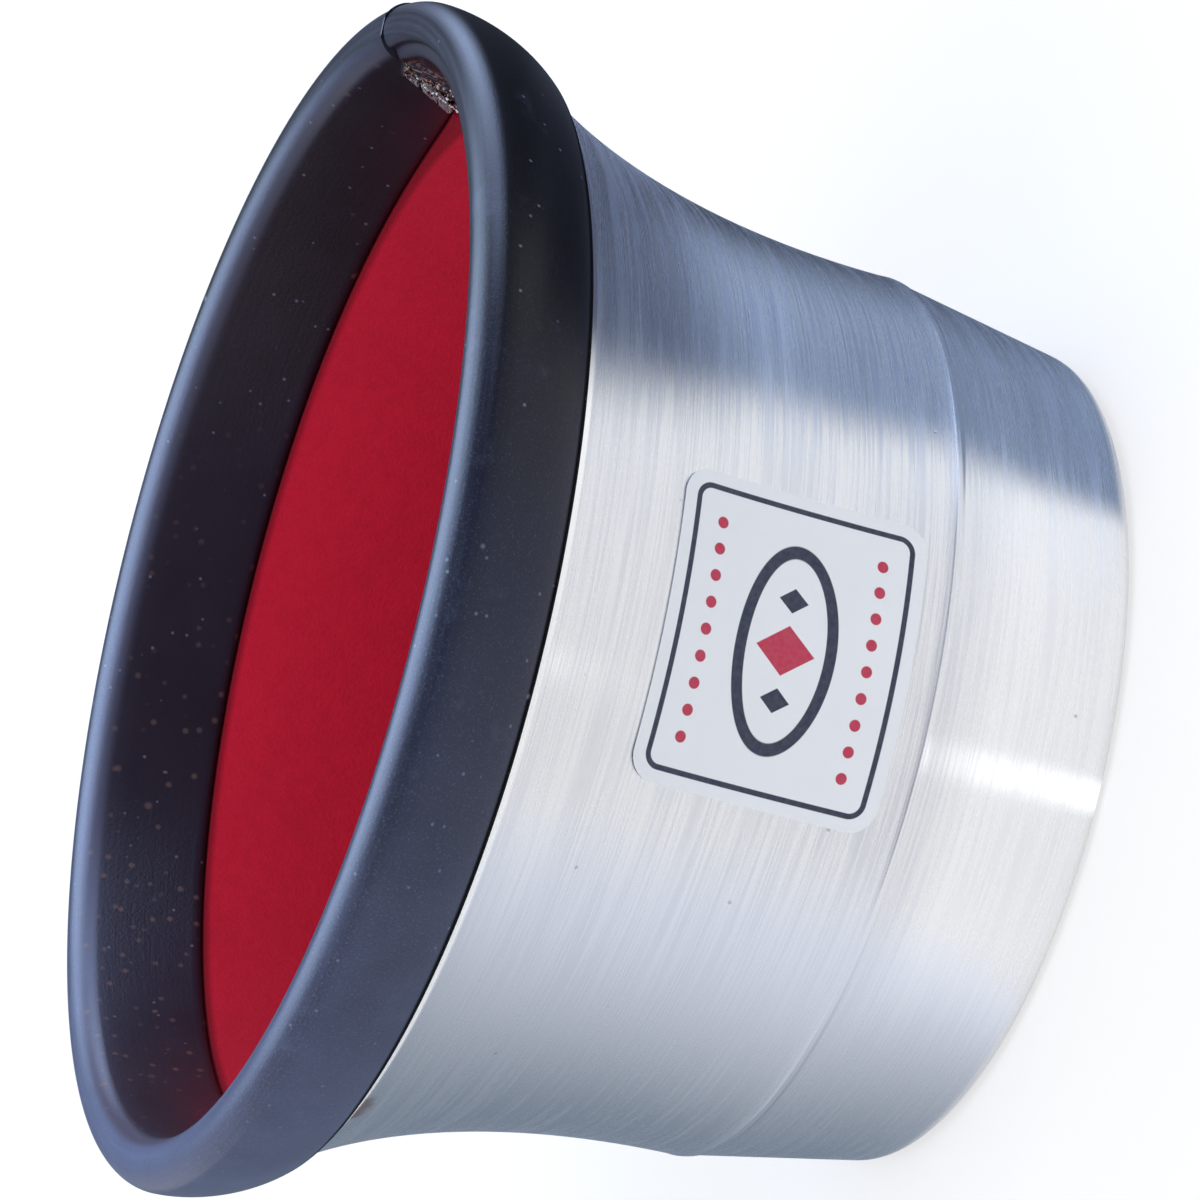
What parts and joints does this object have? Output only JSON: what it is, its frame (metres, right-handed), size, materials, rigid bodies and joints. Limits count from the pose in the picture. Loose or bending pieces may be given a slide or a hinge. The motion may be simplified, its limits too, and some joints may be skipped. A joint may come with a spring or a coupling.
{
  "type": "trumpet plunger mute",
  "caption": "Hand-held plunger mute: a spun aluminium cup with a flared mouth, a black rubber edging over its rim and a red felt lining inside.",
  "frame": {"origin": "centre of the underside of the cup's flat base", "axes": "+Z along the cup's axis from the base to the mouth, +X towards the butt joint of the rubber edging, which lies 5.5 degrees from it towards +Y, and -Y on the side that carries the label"},
  "size_m": [0.13, 0.13, 0.0818],
  "materials": {
    "spun_aluminium": "spun satin with fine turning lines",
    "black_rubber": "extruded, soft sheen",
    "brown_cement": "dried contact cement",
    "red_felt": "short even felt",
    "printed_film": "satin self-adhesive film"
  },
  "bodies": {
    "root": {"cup": "spun_aluminium", "rim_edging": "black_rubber", "joint_adhesive": "brown_cement", "wall_lining": "red_felt", "base_lining": "red_felt", "label": "printed_film"}
  },
  "joints": []
}
